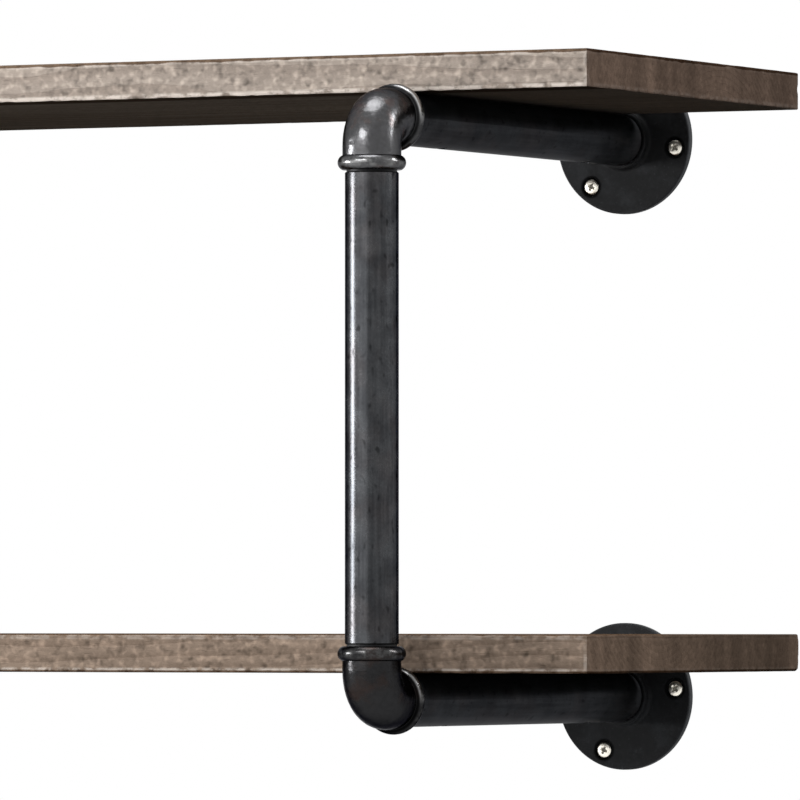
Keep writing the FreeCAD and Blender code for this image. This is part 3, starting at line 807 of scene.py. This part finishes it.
def cut_recess(mesh, top, length, width, depth):
    """Sinks a cross recess in a screw's head, marks where shade is painted in it and leaves its flat faces
    sharp.
    """
    screw = new_object("screw_blank", mesh)
    cutter = new_object("recess_cutter", wing_mesh(length, width, top, depth))
    cut = screw.modifiers.new("recess", "BOOLEAN")
    cut.operation, cut.solver, cut.object, cut.use_self = "DIFFERENCE", "EXACT", cutter, True
    graph = bpy.context.evaluated_depsgraph_get()
    finished = bpy.data.meshes.new_from_object(screw.evaluated_get(graph))
    bpy.data.objects.remove(screw)
    bpy.data.objects.remove(cutter)
    lowest, highest = top - SHADE_LOW * depth, top - SHADE_HIGH * depth
    recess_shade_mask = []
    for vertex in finished.vertices:
        inside = math.hypot(vertex.co.x, vertex.co.y) < length / 2
        recess_shade_mask.append(float(inside and lowest < vertex.co.z < highest))
    add_mark(finished, "grime", recess_shade_mask)
    for face in finished.polygons:
        face.use_smooth = face.normal.z < FLAT
    return finished


class ScrewTree(Nodes):
    """A Geometry Nodes tree that sets screws on points, under construction."""

    def __init__(self, name, **inputs):
        super().__init__(bpy.data.node_groups.new(name, "GeometryNodeTree"))
        inputs = {"Screw": "Object", "Finish": "Material", "Count": "Int", **inputs}
        for words, kind in inputs.items():
            self.tree.interface.new_socket(words, in_out="INPUT", socket_type=f"NodeSocket{kind}")
        self.tree.interface.new_socket("Geometry", in_out="OUTPUT", socket_type="NodeSocketGeometry")
        source = self.tree.nodes.new("NodeGroupInput")
        self.given = {words: Wire(self, source.outputs[words]) for words in inputs}

    def done(self, points, tilt):
        """Sets a screw on each point, spun about its axis, and makes real, finished geometry of them."""
        screw = self.node("GeometryNodeObjectInfo", None, {"Object": self.given["Screw"]}, "Geometry")
        sockets = {"Min_001": 0.0, "Max_001": math.tau, "Seed": SPIN_SEED}
        spin = self.node("FunctionNodeRandomValue", {"data_type": "FLOAT"}, sockets, "Value_001")
        turn = self.node("ShaderNodeCombineXYZ", None, {"X": tilt, "Y": spin} if tilt else {"Z": spin})
        turn = self.node("FunctionNodeEulerToRotation", None, {0: turn})
        sockets = {"Points": points, "Instance": screw, "Rotation": turn}
        placed = self.node("GeometryNodeInstanceOnPoints", None, sockets)
        real = self.node("GeometryNodeRealizeInstances", None, {"Geometry": placed})
        sockets = {"Geometry": real, "Material": self.given["Finish"]}
        dressed = self.node("GeometryNodeSetMaterial", None, sockets)
        self.node("NodeGroupOutput", None, {"Geometry": dressed})
        return self.tree


def ring_tree():
    """Screws in a ring on the wall, their heads towards the room."""
    making = ScrewTree("screw_ring", Radius="Float", Clock="Float", Centre="Vector")
    given = making.given
    sockets = {"Vertices": given["Count"], "Radius": given["Radius"]}
    circle = making.node("GeometryNodeMeshCircle", None, sockets)
    turn = making.node("ShaderNodeCombineXYZ", None, {"X": math.pi / 2, "Y": given["Clock"]})
    sockets = {"Geometry": circle, "Translation": given["Centre"], "Rotation": turn}
    placed = making.node("GeometryNodeTransform", None, sockets)
    return making.done(placed, math.pi / 2)


def row_tree():
    """Screws in a row under a board, their points upwards."""
    making = ScrewTree("screw_row", First="Vector", Last="Vector")
    given = making.given
    sockets = {"Count": given["Count"], "Start Location": given["First"], "Offset": given["Last"]}
    line = making.node("GeometryNodeMeshLine", {"mode": "END_POINTS"}, sockets)
    return making.done(line, 0.0)


def grown_mesh(name, tree, **contents):
    """The plain mesh that a tree makes with these inputs."""
    holder = new_object(name, bpy.data.meshes.new(name))
    maker = holder.modifiers.new("maker", "NODES")
    maker.node_group = tree
    for item in tree.interface.items_tree:
        if item.in_out == "INPUT":
            maker[item.identifier] = contents[item.name.lower()]
    graph = bpy.context.evaluated_depsgraph_get()
    mesh = bpy.data.meshes.new_from_object(holder.evaluated_get(graph))
    holder.modifiers.remove(maker)
    bpy.data.objects.remove(holder)
    if not mesh.polygons:
        raise RuntimeError(f"{name}: the tree made nothing")
    mesh.name = name
    return mesh


class SHELF_OT_boards(bpy.types.Operator):
    """Builds both boards with worn arrises, sawn edges and stained grain"""

    bl_idname = "shelf.boards"
    bl_label = "Boards"

    def execute(self, context):
        sizes, colours = context.scene.shelf_sizes, context.scene.shelf_colours
        for tier in TIERS:
            mesh = board_mesh(f"{tier}_board", *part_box(f"{tier}_shelf"), sizes)
            mesh.materials.append(wood_finish(tier, colours, sizes.ring_pitch))
            finished_piece(f"{tier}_board", mesh, "shelf_wood", f"{tier}_shelf")
        return {"FINISHED"}


class SHELF_OT_pipes(bpy.types.Operator):
    """Finishes the uprights and the arms in black lacquer"""

    bl_idname = "shelf.pipes"
    bl_label = "Pipes"

    def execute(self, context):
        colours = context.scene.shelf_colours
        gloss = {"metal": 1.0, "matt": 0.13, "Specular_Tint": (0.31, 0.31, 0.32)}
        deep, worn = colours.pipe_deep, colours.pipe_worn
        finish = pipe_finish("upright_lacquer", deep, worn, UPRIGHT_AXIS, **gloss)
        for side in SIDES:
            wear_material(f"{side}_upright", finish)
        gloss = {"metal": 0.5, "matt": 0.20, "Specular_Tint": (0.50, 0.50, 0.51)}
        deep, worn = colours.arm_deep, colours.arm_worn
        finish = pipe_finish("arm_lacquer", deep, worn, ARM_AXIS, Specular_IOR_Level=0.0, **gloss)
        for side, tier in CORNERS:
            wear_material(f"{side}_{tier}_arm", finish)
        return {"FINISHED"}


class SHELF_OT_elbows(bpy.types.Operator):
    """Finishes the elbows in gunmetal cast iron"""

    bl_idname = "shelf.elbows"
    bl_label = "Elbows"

    def execute(self, context):
        for tier in TIERS:
            finish = elbow_finish(tier, context.scene.shelf_colours)
            for side in SIDES:
                wear_material(f"{side}_{tier}_elbow", finish)
        return {"FINISHED"}


class SHELF_OT_flanges(bpy.types.Operator):
    """Finishes the wall flanges in blackened cast iron"""

    bl_idname = "shelf.flanges"
    bl_label = "Flanges"

    def execute(self, context):
        finish = flange_finish("flange_iron", context.scene.shelf_colours, context.scene.shelf_sizes)
        for side, tier in CORNERS:
            wear_material(f"{side}_{tier}_flange", finish)
        return {"FINISHED"}


class SHELF_OT_wall_screws(bpy.types.Operator):
    """Makes each flange's ring of threaded, raised countersunk screws"""

    bl_idname = "shelf.wall_screws"
    bl_label = "Wall screws"

    def execute(self, context):
        sizes, colours = context.scene.shelf_sizes, context.scene.shelf_colours
        low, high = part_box("right_upper_wall_screws")
        top, tip = -low.y, -high.y
        half, crest = sizes.wall_head / 2, sizes.wall_shank / 2
        rim = top - WALL_RISE
        neck = WALL_NECK * crest
        head = [(WALL_NECK_START, neck), (rim - (half - neck), neck)]
        head += [(rim + height, share * half) for height, share in WALL_DOME]
        head += [(top, WALL_CROWN * half)]
        rows = screw_rows(tip, 0.0, head, crest, WALL_ROOT * crest, sizes.wall_pitch, WALL_POINT)
        mesh = screw_mesh("wall_screw", rows, sizes.wall_pitch, tip, WALL_RECESS)
        screw = new_object("wall_screw", mesh)
        finish = zinc_finish("wall_screw_zinc", colours.zinc, colours.grime)
        tree = ring_tree()
        for side, tier in CORNERS:
            centre = middle(f"{side}_{tier}_flange")
            name = f"{side}_{tier}_flange_screws"
            clock = (0.0 if side == "right" else math.pi) + SIGNS[side] * SIGNS[tier] * WALL_CLOCK
            ring = {"radius": sizes.screw_circle, "clock": clock, "centre": (centre.x, 0.0, centre.z)}
            made = grown_mesh(name, tree, screw=screw, finish=finish, count=WALL_SCREWS, **ring)
            finished_piece(name, made, "screw_zinc", f"{side}_{tier}_wall_screws")
        bpy.data.objects.remove(screw)
        return {"FINISHED"}


class SHELF_OT_shelf_screws(bpy.types.Operator):
    """Makes the round-headed screws that go up through the arms into the boards"""

    bl_idname = "shelf.shelf_screws"
    bl_label = "Shelf screws"

    def execute(self, context):
        sizes, colours = context.scene.shelf_sizes, context.scene.shelf_colours
        low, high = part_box("right_upper_shelf_screws")
        half, crest = sizes.shelf_head / 2, sizes.shelf_shank / 2
        length = high.z - low.z
        head = [(length - SHELF_NECK_END, SHELF_NECK * crest)]
        head += [(length - depth, share * half) for depth, share in SHELF_DOME]
        shoulder = length - SHELF_SHOULDER
        rows = screw_rows(0.0, shoulder, head, crest, SHELF_ROOT * crest, sizes.shelf_pitch, SHELF_POINT)
        mesh = screw_mesh("shelf_screw", rows, sizes.shelf_pitch, 0.0, SHELF_RECESS)
        # Turned over, so that its point is upwards and its head is at the origin.
        for vertex in mesh.vertices:
            vertex.co = (vertex.co.x, -vertex.co.y, length - vertex.co.z)
        screw = new_object("shelf_screw", mesh)
        finish = zinc_finish("shelf_screw_zinc", colours.dull_zinc, colours.grime)
        tree = row_tree()
        for side, tier in CORNERS:
            low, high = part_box(f"{side}_{tier}_shelf_screws")
            name = f"{side}_{tier}_arm_screws"
            across = (low.x + high.x) / 2
            row = {"first": (across, high.y - half, low.z), "last": (across, low.y + half, low.z)}
            made = grown_mesh(name, tree, screw=screw, finish=finish, count=SHELF_SCREWS, **row)
            finished_piece(name, made, "screw_zinc", f"{side}_{tier}_shelf_screws")
        bpy.data.objects.remove(screw)
        return {"FINISHED"}


def aim(thing, place, target):
    """Stands a lamp or the camera at a place, turned to a target."""
    thing.location = place
    thing.rotation_euler = (Vector(target) - Vector(place)).to_track_quat("-Z", "Y").to_euler()


def set_lamp(name, power, size, place):
    """A lamp that the camera doesn't see."""
    data = bpy.data.lights.new(name, "AREA")
    data.shape, data.energy = "RECTANGLE", power
    data.size, data.size_y = size
    lamp = new_object(name, data)
    lamp.visible_camera = False
    aim(lamp, place, LAMP_TARGET)


def set_world(scene, studio):
    """White where it is seen; soft light from above, more from behind and little from below."""
    world = bpy.data.worlds.new("studio_surround")
    nodes = Nodes(clear_tree(world))
    _, rear, up = nodes.axes(nodes.node("ShaderNodeTexCoord", take="Generated"))
    level = studio.ground + up.step(-0.35, 0.35) * (studio.sky - studio.ground)
    level = level * (1 + rear.step(0.0, 0.8) * studio.rear_lift)
    soft = nodes.node("ShaderNodeBackground", None, {"Color": WHITE, "Strength": level})
    white = nodes.node("ShaderNodeBackground", None, {"Color": WHITE, "Strength": 1.0})
    nodes.node("ShaderNodeOutputWorld", None, {"Surface": nodes.blend(nodes.seen(), soft, white)})
    scene.world = world


def floor_finish(colours, studio):
    """Pale floor that keeps the shadow, fades out at its rim and is clear from below."""
    material = bpy.data.materials.new("pale_floor")
    nodes = Nodes(clear_tree(material))
    pale = nodes.node("ShaderNodeBsdfDiffuse", None, {"Color": colours.floor})
    glow = nodes.node("ShaderNodeEmission", None, {"Color": colours.floor, "Strength": 1.0})
    dim = nodes.node("ShaderNodeBsdfDiffuse", None, {"Color": DIM})
    clear = nodes.node("ShaderNodeBsdfTransparent")
    place = nodes.node("ShaderNodeTexCoord", take="Object")
    reach = nodes.node("ShaderNodeVectorMath", {"operation": "LENGTH"}, {0: place}, "Value")
    below = nodes.node("ShaderNodeNewGeometry", take="Backfacing")
    fade = [studio.floor_radius * share for share in FLOOR_FADE]
    hidden = reach.step(*fade).math("MAXIMUM", below)
    shown = nodes.blend(nodes.seen(), dim, nodes.blend(0.5, pale, glow))
    nodes.node("ShaderNodeOutputMaterial", None, {"Surface": nodes.blend(hidden, shown, clear)})
    return material


def set_floor(colours, studio):
    """A round floor below the part."""
    shape = bmesh.new()
    bmesh.ops.create_circle(shape, cap_ends=True, segments=FLOOR_SIDES, radius=studio.floor_radius)
    mesh = bpy.data.meshes.new("floor")
    shape.to_mesh(mesh)
    shape.free()
    mesh.materials.append(floor_finish(colours, studio))
    floor = new_object("floor", mesh)
    floor.location = (0.0, FLOOR_Y, CAD_BOX[0].z - studio.floor_drop)


class SHELF_OT_stage(bpy.types.Operator):
    """Sets the floor, the lamps, the white surround and the camera"""

    bl_idname = "shelf.stage"
    bl_label = "Stage"

    def execute(self, context):
        scene = context.scene
        studio = scene.shelf_studio
        for name, (power, size, place) in LAMPS.items():
            set_lamp(name, getattr(studio, power), size, place)
        set_world(scene, studio)
        set_floor(scene.shelf_colours, studio)
        data = bpy.data.cameras.new("camera")
        data.sensor_width, data.lens = SENSOR_WIDTH, studio.lens
        data.clip_start, data.clip_end = CLIP
        scene.camera = new_object("camera", data)
        aim(scene.camera, studio.eye, studio.target)
        scene.view_settings.view_transform = "Standard"
        return {"FINISHED"}


OPERATORS = (
    SHELF_OT_boards,
    SHELF_OT_pipes,
    SHELF_OT_elbows,
    SHELF_OT_flanges,
    SHELF_OT_wall_screws,
    SHELF_OT_shelf_screws,
    SHELF_OT_stage,
)


class SHELF_PT_maker(bpy.types.Panel):
    """Lists the shelf's makers and settings"""

    bl_idname = "SHELF_PT_maker"
    bl_label = "Pipe shelf"
    bl_space_type = "VIEW_3D"
    bl_region_type = "UI"
    bl_category = "Pipe shelf"

    def draw(self, context):
        for maker in OPERATORS:
            self.layout.operator(maker.bl_idname)
        for name in GROUPS:
            group = getattr(context.scene, name)
            box = self.layout.box()
            for setting in group.__annotations__:
                box.prop(group, setting)


GROUPS = {"shelf_sizes": ShelfSizes, "shelf_colours": ShelfColours, "shelf_studio": StudioSettings}


def register():
    """Adds the settings, the makers and the panel to Blender."""
    for item in (*GROUPS.values(), *OPERATORS, SHELF_PT_maker):
        bpy.utils.register_class(item)
    for name, group in GROUPS.items():
        setattr(bpy.types.Scene, name, bpy.props.PointerProperty(type=group))


def unregister():
    """Takes them away again."""
    for name in GROUPS:
        delattr(bpy.types.Scene, name)
    for item in (SHELF_PT_maker, *reversed(OPERATORS), *reversed(GROUPS.values())):
        bpy.utils.unregister_class(item)


def main():
    """Runs the makers in order."""
    register()
    for maker in OPERATORS:
        group, name = maker.bl_idname.split(".")
        getattr(getattr(bpy.ops, group), name)()


if __name__ == "__main__":
    main()
